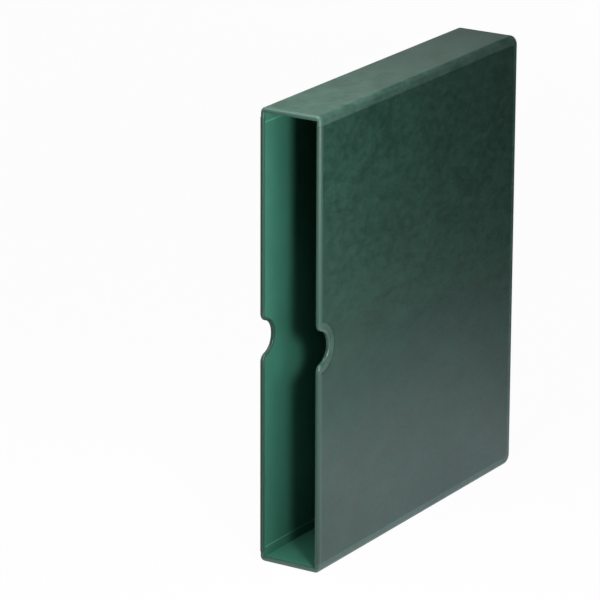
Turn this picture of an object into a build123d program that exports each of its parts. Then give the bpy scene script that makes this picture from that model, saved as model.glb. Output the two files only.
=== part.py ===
# An open slipcase for an A4 ring binder, standing on its bottom wall.
# Grey board walls, leatherette outside, lining paper inside, and a thumb notch in each side.
# Millimetres. +Z is up, the open mouth faces -Y, and the two large sides face -X and +X.
# The origin is the middle of the bottom.
from build123d import *

import os
from math import sqrt

# Outer size of the covered case
outer_height = 328.0
outer_depth = 270.0
outer_width = 49.0

# Thickness of the board, the leatherette and the lining paper
board = 3.0
cover = 0.35
lining = 0.25

# Roundings of the covered case
back_corner_radius = 7.5
long_edge_radius = 3.5
rim_radius = 2.4
inner_rim_radius = 0.6

# How far the leatherette reaches
side_sheet_inset = 7.0
strip_lap = 11.0
turn_in = 15.0
inner_corner_radius = 3.0

# How far the lining reaches
lining_setback = 2.0
lining_turn_up = 7.4

# Thumb notch, measured on its covered rim: its centre lies a little way in from the mouth
notch_radius = 12.2
notch_centre = 1.3
notch_horn_radius = 6.0
notch_edge_radius = 1.6
edging_visible = 6.3
edging_flange = 9.5

# How far a cutting block runs past the case
past = 60.0

# Places that follow from the sizes above
front = -outer_depth / 2
back = outer_depth / 2
half_width = outer_width / 2
notch_height = outer_height / 2
sheet_bottom = side_sheet_inset
sheet_top = outer_height - side_sheet_inset
side_board_outside = half_width - cover
lapped_board_outside = side_board_outside - cover
side_board_inside = side_board_outside - board
turn_in_outside = side_board_inside + cover
cavity_wall = side_board_inside - lining
turned_up_wall = cavity_wall - lining
narrow_board_inset = cover + board
narrow_lining_inset = narrow_board_inset + lining
turn_in_bottom = narrow_board_inset - cover
turn_in_top = outer_height - turn_in_bottom
horn_distance = notch_radius + notch_horn_radius
horn_inset = notch_horn_radius - notch_centre
horn_offset = sqrt(horn_distance**2 - horn_inset**2)
edging_radius = notch_radius + edging_visible
flange_radius = notch_radius + edging_flange


def slab(x_low, x_high, y_low=front - past, y_high=back + past, z_low=-past, z_high=outer_height + past):
    """A plain block, which runs past the case where no limit is given."""
    with BuildPart() as block:
        with Locations(((x_low + x_high) / 2, (y_low + y_high) / 2, (z_low + z_high) / 2)):
            Box(x_high - x_low, y_high - y_low, z_high - z_low)
    return block.part


def side_block(x_low, x_high, inset, y_front):
    """A block with the case's side outline: taken in by inset, open to y_front."""
    length = back - inset - y_front
    height = outer_height - 2 * inset
    corner = max(back_corner_radius - inset, inner_corner_radius)
    with BuildPart() as block:
        with BuildSketch(Plane.YZ.offset(x_low)) as outline:
            with Locations((y_front + length / 2, outer_height / 2)):
                Rectangle(length, height)
            fillet(outline.vertices().group_by(Axis.X)[-1], corner)
        extrude(amount=x_high - x_low)
    return block.part


def envelope(half, inset, y_front, long_radius, front_radius):
    """The whole case as one block, its long edges and the edge round its mouth softened."""
    with BuildPart() as block:
        add(side_block(-half, half, inset, y_front))
        outlines = block.faces().filter_by(Axis.X).edges()
        mouth_edges = outlines.group_by(Axis.Y)[0]
        fillet([edge for edge in outlines if edge not in mouth_edges], long_radius)
        mouth = block.faces().sort_by(Axis.Y)[0]
        fillet(mouth.edges(), front_radius)
    return block.part


def softened_panel(x_low, x_high, inset, y_front, radius, inner_radius=0):
    """A side panel whose edges along the mouth are softened, the inner one where it has a radius."""
    with BuildPart() as panel:
        add(side_block(x_low, x_high, inset, y_front))
        mouth = panel.faces().sort_by(Axis.Y)[0]
        fillet(mouth.edges().sort_by(Axis.X)[-1], radius)
        if inner_radius:
            mouth = panel.faces().sort_by(Axis.Y)[0]
            fillet(mouth.edges().sort_by(Axis.X)[0], inner_radius)
    return panel.part


def notch_plane(x_low):
    """The plane across the thumb notch at x_low, starting where the notch meets the mouth."""
    return Plane(origin=(x_low, front, notch_height), x_dir=(0, 1, 0), z_dir=(1, 0, 0))


def notch_disc(x_low, x_high, radius):
    """A round block on the notch's centre line."""
    with BuildPart() as disc:
        with BuildSketch(notch_plane(x_low)):
            with Locations((notch_centre, 0)):
                Circle(radius)
        extrude(amount=x_high - x_low)
    return disc.part


def notch_tool(x_low, x_high, grow):
    """The half-round notch with its softened horns, its rim moved into the wall by grow."""
    radius = notch_radius + grow
    horn = notch_horn_radius - grow
    meet_y = notch_centre + radius * horn_inset / horn_distance
    meet_z = radius * horn_offset / horn_distance
    bend_y = notch_horn_radius - horn * sqrt(0.5)
    bend_z = horn_offset - horn * sqrt(0.5)
    with BuildPart() as tool:
        with BuildSketch(notch_plane(x_low)):
            with BuildLine():
                Polyline(
                    (grow, horn_offset), (-past, horn_offset), (-past, -horn_offset), (grow, -horn_offset)
                )
                ThreePointArc((grow, -horn_offset), (bend_y, -bend_z), (meet_y, -meet_z))
                ThreePointArc((meet_y, -meet_z), (notch_centre + radius, 0), (meet_y, meet_z))
                ThreePointArc((meet_y, meet_z), (bend_y, bend_z), (grow, horn_offset))
            make_face()
        extrude(amount=x_high - x_low)
    return tool.part


def edging_core(x_low, x_high, grow, radius, edge_radius, inner_radius=0):
    """A round block with the notch cut out of it and the notch's edges softened."""
    with BuildPart() as core:
        add(notch_disc(x_low, x_high, radius))
        add(slab(x_low, x_high, y_high=front + grow), mode=Mode.SUBTRACT)
        add(notch_tool(x_low, x_high, grow), mode=Mode.SUBTRACT)
        for side, soft in ((-1, edge_radius), (0, inner_radius)):
            if soft:
                edges = core.faces().sort_by(Axis.X)[side].edges()
                block_outline = edges.filter_by(GeomType.CIRCLE).group_by(SortBy.RADIUS)[-1]
                fillet(edges - block_outline, soft)
    return core.part


def side_turn_in(x_low, y_low, z_low, z_high):
    """Leatherette turned in at the mouth and lying in a side wall, from x_low outwards."""
    return slab(x_low, x_low + cover, y_low, front + turn_in, z_low, z_high)


def strip_turn_ins(y_low):
    """The strip's turn-ins inside the mouth, one in the bottom wall and one in the top wall."""
    y_high = front + turn_in
    y_middle = (y_low + y_high) / 2
    level = narrow_board_inset - cover / 2
    with BuildPart() as turn_ins:
        with Locations((0, y_middle, level), (0, y_middle, outer_height - level)):
            Box(2 * side_board_inside, y_high - y_low, cover)
    return turn_ins.part


# Shapes that several pieces share
strip_skin = envelope(side_board_outside, 0, front + cover, long_edge_radius, rim_radius - cover)
board_body = envelope(
    lapped_board_outside, cover, front + 2 * cover, long_edge_radius - cover, rim_radius - 2 * cover
)
board_hollow = side_block(-side_board_inside, side_board_inside, narrow_board_inset, front - past)
flange_disc = notch_disc(side_board_inside, half_width, flange_radius)

# All that lies between the strip's outside and the hollow, with the inner edge round the mouth softened
with BuildPart() as open_skin:
    add(strip_skin)
    add(board_hollow, mode=Mode.SUBTRACT)
    mouth_face = open_skin.faces().filter_by(Axis.Y).sort_by(Axis.Y)[0]
    fillet(mouth_face.inner_wires()[0].edges(), inner_rim_radius)

# Right side board: pressed in where leatherette lies on it
raised_board = softened_panel(
    side_board_inside, side_board_outside, strip_lap, front + cover, rim_radius - cover
)
notched_board = edging_core(
    turn_in_outside, lapped_board_outside, cover, 2 * flange_radius, notch_edge_radius - cover
)
with BuildPart() as side_board_right:
    add(board_body)
    add(slab(-half_width - past, side_board_inside), mode=Mode.SUBTRACT)
    add(raised_board)
    add(side_turn_in(side_board_inside, front, turn_in_bottom, turn_in_top), mode=Mode.SUBTRACT)
    add(flange_disc, mode=Mode.SUBTRACT)
    add(notched_board & flange_disc & raised_board)
side_board_right.part.label = "side_board_right"

# Narrow wall board: one strip, bent round the two back corners
with BuildPart() as narrow_wall_board:
    add(board_body)
    add(slab(side_board_inside, half_width + past), mode=Mode.SUBTRACT)
    add(slab(-half_width - past, -side_board_inside), mode=Mode.SUBTRACT)
    add(board_hollow, mode=Mode.SUBTRACT)
    add(strip_turn_ins(front), mode=Mode.SUBTRACT)
narrow_wall_board.part.label = "narrow_wall_board"

# Narrow wall cover: one leatherette strip, lapped on to both sides and turned in at the mouth
with BuildPart() as narrow_wall_cover:
    add(strip_skin)
    add(board_body, mode=Mode.SUBTRACT)
    add(board_hollow, mode=Mode.SUBTRACT)
    add(side_block(side_board_inside, half_width, strip_lap, front - past), mode=Mode.SUBTRACT)
    add(side_block(-half_width, -side_board_inside, strip_lap, front - past), mode=Mode.SUBTRACT)
    for x_low in (side_board_inside, -turn_in_outside):
        add(side_turn_in(x_low, front, sheet_bottom, sheet_top), mode=Mode.SUBTRACT)
        add(side_turn_in(x_low, front + 2 * cover, turn_in_bottom, sheet_bottom))
        add(side_turn_in(x_low, front + 2 * cover, sheet_top, turn_in_top))
    add(strip_turn_ins(front + 2 * cover))
    add(open_skin.part, mode=Mode.INTERSECT)
narrow_wall_cover.part.label = "narrow_wall_cover"

# Right side cover: a leatherette sheet, turned in at the mouth above and below the notch
with BuildPart() as side_cover_right:
    add(
        softened_panel(
            side_board_inside, half_width, side_sheet_inset, front, rim_radius, inner_rim_radius
        )
    )
    add(
        softened_panel(turn_in_outside, side_board_outside, 0, front + cover, rim_radius - cover),
        mode=Mode.SUBTRACT,
    )
    add(slab(0, turn_in_outside, y_low=front + turn_in), mode=Mode.SUBTRACT)
    add(notch_disc(0, half_width, edging_radius), mode=Mode.SUBTRACT)
    add(
        notch_disc(0, turn_in_outside, flange_radius) & slab(0, half_width, y_low=front + cover),
        mode=Mode.SUBTRACT,
    )
side_cover_right.part.label = "side_cover_right"

# Right notch edging: a leatherette strip folded over the rim of the thumb notch
with BuildPart() as notch_edging_right:
    add(
        edging_core(
            side_board_inside, side_board_outside, 0, flange_radius, notch_edge_radius, inner_rim_radius
        )
    )
    add(notched_board, mode=Mode.SUBTRACT)
    add(side_cover_right.part, mode=Mode.SUBTRACT)
    add(slab(0, half_width, y_high=front + cover, z_low=notch_height + edging_radius), mode=Mode.SUBTRACT)
    add(slab(0, half_width, y_high=front + cover, z_high=notch_height - edging_radius), mode=Mode.SUBTRACT)
notch_edging_right.part.label = "notch_edging_right"

# Right side lining: a sheet of paper, set back from the rim
with BuildPart() as side_lining_right:
    add(side_block(cavity_wall, side_board_inside, narrow_board_inset, front + lining_setback))
    add(notch_tool(cavity_wall, side_board_inside, lining_setback), mode=Mode.SUBTRACT)
side_lining_right.part.label = "side_lining_right"

# Narrow wall lining: one strip of paper, turned up on to both sides
with BuildPart() as narrow_wall_lining:
    add(side_block(-cavity_wall, cavity_wall, narrow_board_inset, front + lining_setback))
    add(side_block(-turned_up_wall, turned_up_wall, narrow_lining_inset, front), mode=Mode.SUBTRACT)
    add(
        side_block(-cavity_wall, cavity_wall, narrow_board_inset + lining_turn_up, front),
        mode=Mode.SUBTRACT,
    )
narrow_wall_lining.part.label = "narrow_wall_lining"

# The left side is the right side's mirror image
right_pieces = [side_board_right, side_cover_right, notch_edging_right, side_lining_right]
pieces = [narrow_wall_board, narrow_wall_cover, narrow_wall_lining] + right_pieces
for right in right_pieces:
    with BuildPart() as left:
        add(right.part)
        mirror(about=Plane.YZ, mode=Mode.REPLACE)
    left.part.label = right.part.label.replace("right", "left")
    pieces.append(left)

os.makedirs("parts", exist_ok=True)
for piece in pieces:
    export_step(piece.part, f"parts/{piece.part.label}.step")
    print(f"{piece.part.label}: {len(piece.part.solids())} solid, {piece.part.volume:.0f} mm3")
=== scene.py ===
from math import cos, pi, radians, sin

import bmesh
import bpy
from mathutils import Matrix, Vector


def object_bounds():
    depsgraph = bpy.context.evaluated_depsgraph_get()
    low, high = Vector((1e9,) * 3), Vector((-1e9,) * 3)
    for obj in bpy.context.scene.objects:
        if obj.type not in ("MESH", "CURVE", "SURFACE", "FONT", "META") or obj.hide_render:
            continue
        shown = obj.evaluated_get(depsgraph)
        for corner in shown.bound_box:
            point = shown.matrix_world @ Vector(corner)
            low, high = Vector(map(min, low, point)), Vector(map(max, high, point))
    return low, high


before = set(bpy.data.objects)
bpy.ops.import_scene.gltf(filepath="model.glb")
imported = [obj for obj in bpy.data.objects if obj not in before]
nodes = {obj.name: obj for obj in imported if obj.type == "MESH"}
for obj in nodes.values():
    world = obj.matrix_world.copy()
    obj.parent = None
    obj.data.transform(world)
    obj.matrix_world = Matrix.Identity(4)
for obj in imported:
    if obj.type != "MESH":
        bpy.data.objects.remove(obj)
cad_low, cad_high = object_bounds()
scene = bpy.context.scene
case_middle = (cad_low + cad_high) / 2

# Where the painted highlight on the rim starts, the covering growing paler towards the mouth, and over what
# length
RIM_HIGHLIGHT_END = cad_low.y + 0.0042
RIM_HIGHLIGHT_FADE = 0.0016

# How far below the outside of the case a sheet's cut edge starts to be painted lighter, lifting the shade in
# the step there, and over what depth
CUT_START = 0.00005
CUT_FADE = 0.00005

# The lining's edge where it is turned up on to the sides, painted paler as a highlight: its distance from
# the top or bottom of the case, half its width, and where the turned-up part starts out from the middle of
# the case
FLAP_EDGE = 0.0104
FLAP_EDGE_HALF = 0.0008
FLAP_START = 0.0204
FLAP_FADE = 0.0001

# Leatherette: lumps to the metre, the scale along X, Y and Z of the lumps that are drawn out, the strength
# and depth of the relief, and the roughness and how far it sways
PEBBLES = 900.0
PEBBLE_SMOOTHNESS = 0.6
CREASES = 420.0
BLOTCHES = 190.0
CLOUDS = 60.0
WAVES = 18.0
GRAIN_STRETCH = (1.0, 0.62, 1.0)
GRAIN_RELIEF = 0.4
GRAIN_DEPTH = 0.00018
GRAIN_ROUGHNESS = 0.38
GRAIN_ROUGHNESS_SWAY = 0.2

# The same for the lining paper and the grey board
PAPER_FIBRES = 1400.0
PAPER_CLOUDS = 60.0
PAPER_STRETCH = (1.0, 0.35, 1.0)
PAPER_RELIEF = 0.25
PAPER_DEPTH = 0.00006
PAPER_ROUGHNESS = 0.52
PAPER_ROUGHNESS_SWAY = 0.12
BOARD_FLECKS = 900.0
BOARD_LAYERS = 300.0
BOARD_STRETCH = (1.0, 1.0, 0.2)
BOARD_RELIEF = 0.3
BOARD_DEPTH = 0.00012
BOARD_ROUGHNESS = 0.8
BOARD_ROUGHNESS_SWAY = 0.1

# Studio: half the floor's size, its grey in the light that it throws back and as the camera sees it, how
# much of that the camera sees as plain white, and the light of the room
WHITE = (1.0, 1.0, 1.0, 1.0)
FLOOR_HALF = 6.0
FLOOR_DIM = (0.35, 0.35, 0.35, 1.0)
FLOOR_SEEN = (0.85, 0.85, 0.85, 1.0)
FLOOR_WHITENESS = 0.97
ROOM_LEVEL = 0.012

# Where the lamps aim
MOUTH = (0.0, cad_low.y, 0.17)
MOUTH_LOW = (0.0, cad_low.y, 0.13)
TOP_EDGE = (0.0, cad_low.y, cad_high.z)

# Lamps: azimuth and elevation in degrees, distance, width, height, level, aim and shape
LAMPS = {
    "key": (52.5, 22.5, 0.36, 0.06, 0.06, 0.67, MOUTH, "DISK"),
    "side_fill": (70.0, 28.0, 0.32, 0.14, 0.14, 0.46, MOUTH_LOW, "RECTANGLE"),
    "overhead": (10.0, 80.0, 0.3, 0.2, 0.2, 1.9, TOP_EDGE, "RECTANGLE"),
    "edge_light": (208.0, 20.0, 0.8, 0.25, 0.25, 0.028, TOP_EDGE, "RECTANGLE"),
    "rim_light": (270.0, 55.0, 0.6, 0.25, 0.25, 0.15, TOP_EDGE, "RECTANGLE"),
    "behind": (188.0, 4.0, 2.0, 1.2, 0.6, 0.25, case_middle, "RECTANGLE"),
    "left": (262.0, 6.0, 2.0, 1.2, 1.0, 0.35, case_middle, "RECTANGLE"),
}

# Glowing stretches of floor: where each starts and ends along X and along Y, and its level
PANEL_HEIGHT = 0.0005
GLOW_COLOUR = (0.93, 0.95, 1.05)
SILL_DEPTH = 0.03
SILL_UNDER = 0.0008
PANELS = {
    "floor_right": (0.1, 0.9, -0.33, 0.07, 0.9),
    "floor_front": (-0.1, 0.3, -0.45, -0.16, 0.35),
    "floor_sill": (cad_low.x, cad_high.x, cad_low.y - SILL_DEPTH, cad_low.y + SILL_UNDER, 0.8),
}

# Bands of glowing floor along the right side: how far out from the side each starts and ends, and its level.
# For each metre out, a band's ends lie GLOW_RUN further back.
FLOOR_GLOW = ((-0.0012, 0.05, 1.04), (0.05, 0.11, 1.18), (0.11, 0.20, 1.25))
GLOW_RUN = 1.62

# Camera, seen from the middle of the case: angles in degrees, distances in metres
CAMERA_AZIMUTH = 32.22
CAMERA_ELEVATION = 17.86
CAMERA_ROLL = 0.196
CAMERA_DISTANCE = 2.9825
CAMERA_RIGHT = -0.06463
CAMERA_UP = -0.00476
CAMERA_FAR_END = 50.0
LENS_MM = 252.2
SENSOR_MM = 36.0

# Places of a Mix node's colour sockets and of a Mix Shader node's two shaders
MIX_FACTOR = 0
MIX_LOW = 6
MIX_HIGH = 7
MIX_RESULT = 2
FIRST_SHADER = 1
SECOND_SHADER = 2


class Socket:
    """One output in a node tree. An expression on sockets adds the Math nodes that work it out."""

    def __init__(self, tree, output):
        self.tree = tree
        self.output = output

    def math(self, operation, *values):
        """The result of one Math node on sockets or plain values."""
        places = dict(enumerate(values))
        return self.tree.add("ShaderNodeMath", {"operation": operation}, places)

    def __add__(self, other):
        return self.math("ADD", self, other)

    def __radd__(self, other):
        return self.math("ADD", other, self)

    def __sub__(self, other):
        return self.math("SUBTRACT", self, other)

    def __rsub__(self, other):
        return self.math("SUBTRACT", other, self)

    def __mul__(self, other):
        return self.math("MULTIPLY", self, other)

    def __rmul__(self, other):
        return self.math("MULTIPLY", other, self)

    def __truediv__(self, other):
        return self.math("DIVIDE", self, other)

    def __abs__(self):
        return self.math("ABSOLUTE", self)


class Tree:
    """The nodes of a material or of the world."""

    def __init__(self, owner):
        owner.use_nodes = True
        self.nodes = owner.node_tree.nodes
        self.links = owner.node_tree.links
        self.nodes.clear()

    def place(self, kind, settings=None, inputs=None):
        """Adds a node: its settings first, then the values or links of its sockets."""
        node = self.nodes.new(kind)
        for name, value in (settings or {}).items():
            setattr(node, name, value)
        for name, value in (inputs or {}).items():
            if isinstance(value, Socket):
                self.links.new(value.output, node.inputs[name])
            else:
                node.inputs[name].default_value = value
        return node

    def add(self, kind, settings=None, inputs=None, output=0):
        """Adds a node and returns one of its outputs."""
        return Socket(self, self.place(kind, settings, inputs).outputs[output])

    def mix(self, factor, low, high):
        """A colour between two colours."""
        inputs = {MIX_FACTOR: factor, MIX_LOW: low, MIX_HIGH: high}
        return self.add("ShaderNodeMix", {"data_type": "RGBA"}, inputs, MIX_RESULT)

    def mix_shader(self, factor, low, high):
        """A shader between two shaders."""
        return self.add("ShaderNodeMixShader", None, {"Fac": factor, FIRST_SHADER: low, SECOND_SHADER: high})

    def stretched(self, scale=(1.0, 1.0, 1.0)):
        """Object coordinates, stretched along an axis where its scale is under 1."""
        place = self.add("ShaderNodeTexCoord", output="Object")
        return self.add("ShaderNodeMapping", None, {"Vector": place, "Scale": scale})

    def along(self, axis):
        """How far a point lies along one axis of the case, in metres."""
        place = self.add("ShaderNodeTexCoord", output="Object")
        return self.add("ShaderNodeSeparateXYZ", None, {"Vector": place}, axis)

    def noise(self, place, scale, detail=2.0, roughness=0.5):
        """Smooth noise from 0 to 1, so many lumps to the metre."""
        inputs = {"Vector": place, "Scale": scale, "Detail": detail, "Roughness": roughness}
        return self.add("ShaderNodeTexNoise", {"noise_dimensions": "3D"}, inputs)

    def clamp(self, value):
        """A value kept between 0 and 1."""
        return self.add("ShaderNodeClamp", None, {"Value": value})

    def mottle(self, *weighted_noises):
        """A mask round 0.5, swayed by each noise as far as its weight says."""
        mask = 0.5
        for noise, weight in weighted_noises:
            mask = mask + (noise - 0.5) * weight
        return self.clamp(mask)

    def seen(self):
        """1 for what the camera sees straight on, and 0 for light that reaches it by way of a surface."""
        return self.add("ShaderNodeLightPath", output="Is Camera Ray")

    def skin(self, colour, roughness, height, relief, depth):
        """Ends the tree in a surface, with a relief of this strength and depth."""
        bump = self.add("ShaderNodeBump", None, {"Strength": relief, "Distance": depth, "Height": height})
        inputs = {"Base Color": colour, "Roughness": roughness, "Normal": bump}
        self.surface(self.add("ShaderNodeBsdfPrincipled", None, inputs))

    def surface(self, shader, kind="ShaderNodeOutputMaterial"):
        """Ends the tree in this shader."""
        self.place(kind, None, {"Surface": shader})


def srgb(red, green, blue):
    """A colour given in the 0 to 255 of a screen, as linear light."""
    def linear(value):
        part = value / 255
        return part / 12.92 if part <= 0.04045 else ((part + 0.055) / 1.055) ** 2.4
    return (linear(red), linear(green), linear(blue), 1.0)


def unit(azimuth, elevation):
    """The direction from the case to a place at these angles, where azimuth 0 is in front of the mouth."""
    turn = radians(azimuth)
    rise = radians(elevation)
    return Vector((sin(turn) * cos(rise), -cos(turn) * cos(rise), sin(rise)))


def leatherette(name, dark, light, rim, roughness=GRAIN_ROUGHNESS, relief=GRAIN_RELIEF, cut=None):
    """Embossed leather-look covering: pebbled grain, a dull sheen, and a painted highlight near the mouth,
    where the rim is painted paler for the light that it catches.

    A cut colour paints a sheet's cut edge lighter, lifting the shade in the step there.
    """
    material = bpy.data.materials.new(name)
    tree = Tree(material)
    plain = tree.stretched()
    lengthways = tree.stretched(GRAIN_STRETCH)
    inputs = {"Vector": plain, "Scale": PEBBLES, "Smoothness": PEBBLE_SMOOTHNESS}
    pebbles = tree.add("ShaderNodeTexVoronoi", {"feature": "SMOOTH_F1"}, inputs)
    creases = tree.noise(lengthways, CREASES, detail=3.0, roughness=0.6)
    blotches = tree.noise(lengthways, BLOTCHES, roughness=0.55)
    clouds = tree.noise(lengthways, CLOUDS)
    waves = tree.noise(plain, WAVES, detail=1.0)
    face = tree.mix(tree.mottle((blotches, 2.1), (clouds, 1.4), (creases, 1.2)), dark, light)
    # Painted light: the sheet's cut edge below the outer face is painted lighter, lifting the shade that
    # gathers in the step
    if cut:
        below = cad_high.x - abs(tree.along("X"))
        face = tree.mix(tree.clamp((below - CUT_START) / CUT_FADE), face, cut)
    # Painted highlight: near the mouth the covering is painted paler, standing in for the light that the rim
    # catches
    painted_rim_light = tree.clamp((RIM_HIGHLIGHT_END - tree.along("Y")) / RIM_HIGHLIGHT_FADE)
    height = 0.6 * pebbles + 0.4 * creases + 1.6 * blotches + 2.0 * clouds + 2.0 * waves
    swayed = roughness + GRAIN_ROUGHNESS_SWAY * blotches
    tree.skin(tree.mix(painted_rim_light, face, rim), swayed, height, relief, GRAIN_DEPTH)
    return material


def lining_paper(name, dark, light, flap_edge_highlight=None):
    """Dyed lining paper: short fibres and a faint cloud in the colour, and a painted highlight along a
    turned-up edge.
    """
    material = bpy.data.materials.new(name)
    tree = Tree(material)
    fibres = tree.noise(tree.stretched(PAPER_STRETCH), PAPER_FIBRES)
    clouds = tree.noise(tree.stretched(), PAPER_CLOUDS)
    colour = tree.mix(tree.mottle((clouds, 1.2), (fibres, 0.8)), dark, light)
    # Painted highlight: a narrow band along the turned-up edge is painted paler, for the light that the edge
    # catches
    if flap_edge_highlight:
        from_middle = abs(tree.along("Z") - case_middle.z)
        off_edge = from_middle - (cad_high.z - case_middle.z - FLAP_EDGE)
        near = tree.clamp(1.0 - abs(off_edge) / FLAP_EDGE_HALF)
        flap = tree.clamp((abs(tree.along("X")) - FLAP_START) / FLAP_FADE)
        colour = tree.mix(near * flap, colour, flap_edge_highlight)
    roughness = PAPER_ROUGHNESS + PAPER_ROUGHNESS_SWAY * fibres
    tree.skin(colour, roughness, fibres, PAPER_RELIEF, PAPER_DEPTH)
    return material


def grey_board(name, dark, light):
    """Grey board: pressed waste fibres with darker flecks."""
    material = bpy.data.materials.new(name)
    tree = Tree(material)
    flecks = tree.noise(tree.stretched(), BOARD_FLECKS, detail=4.0, roughness=0.7)
    layers = tree.noise(tree.stretched(BOARD_STRETCH), BOARD_LAYERS)
    colour = tree.mix(tree.mottle((flecks, 2.0), (layers, 0.8)), dark, light)
    roughness = BOARD_ROUGHNESS + BOARD_ROUGHNESS_SWAY * flecks
    tree.skin(colour, roughness, flecks, BOARD_RELIEF, BOARD_DEPTH)
    return material


def give(node_names, material):
    """Finishes CAD nodes with one material."""
    for node_name in node_names:
        mesh = nodes[node_name].data
        mesh.materials.clear()
        mesh.materials.append(material)


def finish_case():
    """Gives every piece of the case its material."""
    # Each rim colour below is a painted highlight near the mouth, for the light that the rim catches
    side_finish = leatherette(
        "side_leatherette",
        dark=srgb(18, 54, 42),
        light=srgb(31, 69, 56),
        rim=srgb(54, 84, 73),
        # painted light on the cut edge, lifting the shade in the step
        cut=srgb(50, 79, 69),
    )
    # Same leatherette as the sides, painted lighter: a painted sheen standing in for the light on the top
    # face and on the strip's laps
    strip_finish = leatherette(
        "strip_leatherette",
        dark=srgb(46, 77, 66),
        light=srgb(66, 96, 85),
        rim=srgb(67, 98, 87),
        relief=0.3,
    )
    # Same leatherette, painted lighter: a painted highlight band round the notches
    edging_finish = leatherette(
        "edging_leatherette",
        dark=srgb(46, 76, 66),
        light=srgb(62, 92, 81),
        rim=srgb(62, 92, 81),
        roughness=0.24,
    )
    paper_dark = srgb(52, 114, 95)
    paper_light = srgb(61, 124, 104)
    lining_finish = lining_paper("lining_paper", paper_dark, paper_light)
    # The turned-up edge of the narrow lining gets a painted highlight
    strip_lining_finish = lining_paper(
        "strip_lining", paper_dark, paper_light, flap_edge_highlight=srgb(98, 162, 142)
    )
    board_finish = grey_board("grey_board", dark=srgb(104, 98, 88), light=srgb(136, 130, 118))
    give(("side_cover_left", "side_cover_right"), side_finish)
    give(("narrow_wall_cover",), strip_finish)
    give(("notch_edging_left", "notch_edging_right"), edging_finish)
    give(("side_lining_left", "side_lining_right"), lining_finish)
    give(("narrow_wall_lining",), strip_lining_finish)
    give(("side_board_left", "side_board_right", "narrow_wall_board"), board_finish)


def make_floor():
    """A large pale floor, white where the camera sees it lit."""
    bm = bmesh.new()
    bmesh.ops.create_grid(bm, x_segments=1, y_segments=1, size=FLOOR_HALF)
    mesh = bpy.data.meshes.new("floor")
    bm.to_mesh(mesh)
    bm.free()
    floor = bpy.data.objects.new("floor", mesh)
    scene.collection.objects.link(floor)
    material = bpy.data.materials.new("floor")
    tree = Tree(material)
    seen = tree.seen()
    lit = tree.add("ShaderNodeBsdfDiffuse", None, {"Color": tree.mix(seen, FLOOR_DIM, FLOOR_SEEN)})
    white = tree.add("ShaderNodeEmission", None, {"Color": WHITE, "Strength": 1.0})
    tree.surface(tree.mix_shader(seen * FLOOR_WHITENESS, lit, white))
    mesh.materials.append(material)


def make_world():
    """A white backdrop for the camera and a dim even room for everything else."""
    world = bpy.data.worlds.new("studio")
    scene.world = world
    tree = Tree(world)
    room = tree.add("ShaderNodeBackground", None, {"Color": WHITE, "Strength": ROOM_LEVEL})
    backdrop = tree.add("ShaderNodeBackground", None, {"Color": WHITE, "Strength": 1.0})
    tree.surface(tree.mix_shader(tree.seen(), room, backdrop), "ShaderNodeOutputWorld")


def make_area_lamp(name, width, height, energy, shape="RECTANGLE"):
    """An area lamp that lights the case but doesn't show itself."""
    light = bpy.data.lights.new(name, "AREA")
    light.shape = shape
    light.size = width
    light.size_y = height
    light.energy = energy
    lamp = bpy.data.objects.new(name, light)
    scene.collection.objects.link(lamp)
    lamp.visible_camera = False
    return lamp


def make_lamp(name, azimuth, elevation, distance, width, height, level, aim, shape):
    """A soft lamp. A white surface that faces it squarely at its aim is lit to this level."""
    lamp = make_area_lamp(name, width, height, pi * pi * distance * distance * level, shape)
    towards = unit(azimuth, elevation)
    lamp.location = Vector(aim) + towards * distance
    lamp.rotation_mode = "QUATERNION"
    lamp.rotation_quaternion = (-towards).to_track_quat("-Z", "Y")


def make_panel(name, x_low, x_high, y_low, y_high, level):
    """A glowing stretch of floor beside the case, as bright as this level."""
    width = x_high - x_low
    length = y_high - y_low
    panel = make_area_lamp(name, width, length, pi * width * length * level)
    panel.data.color = GLOW_COLOUR
    panel.location = ((x_low + x_high) / 2, (y_low + y_high) / 2, PANEL_HEIGHT)
    panel.rotation_euler = (pi, 0.0, 0.0)


def light_case():
    """Sets up the lamps and the glowing stretches of floor."""
    for name, lamp in LAMPS.items():
        make_lamp(name, *lamp)
    for name, panel in PANELS.items():
        make_panel(name, *panel)
    for number, (start, end, level) in enumerate(FLOOR_GLOW):
        y_low = cad_low.y + GLOW_RUN * start
        y_high = cad_high.y + GLOW_RUN * end
        make_panel(f"floor_glow_{number}", cad_high.x + start, cad_high.x + end, y_low, y_high, level)


def make_camera():
    """The photograph's view."""
    turn = radians(CAMERA_AZIMUTH)
    roll = radians(CAMERA_ROLL)
    back = unit(CAMERA_AZIMUTH, CAMERA_ELEVATION)
    side = Vector((cos(turn), sin(turn), 0.0))
    up = back.cross(side)
    right = side * cos(roll) + up * sin(roll)
    top = up * cos(roll) - side * sin(roll)
    place = case_middle + back * CAMERA_DISTANCE + right * CAMERA_RIGHT + top * CAMERA_UP
    data = bpy.data.cameras.new("camera")
    data.sensor_width = SENSOR_MM
    data.lens = LENS_MM
    data.clip_end = CAMERA_FAR_END
    camera = bpy.data.objects.new("camera", data)
    scene.collection.objects.link(camera)
    camera.matrix_world = Matrix((
        (right.x, top.x, back.x, place.x),
        (right.y, top.y, back.y, place.y),
        (right.z, top.z, back.z, place.z),
        (0.0, 0.0, 0.0, 1.0),
    ))
    scene.camera = camera


finish_case()
make_floor()
make_world()
light_case()
make_camera()
scene.view_settings.view_transform = "Standard"
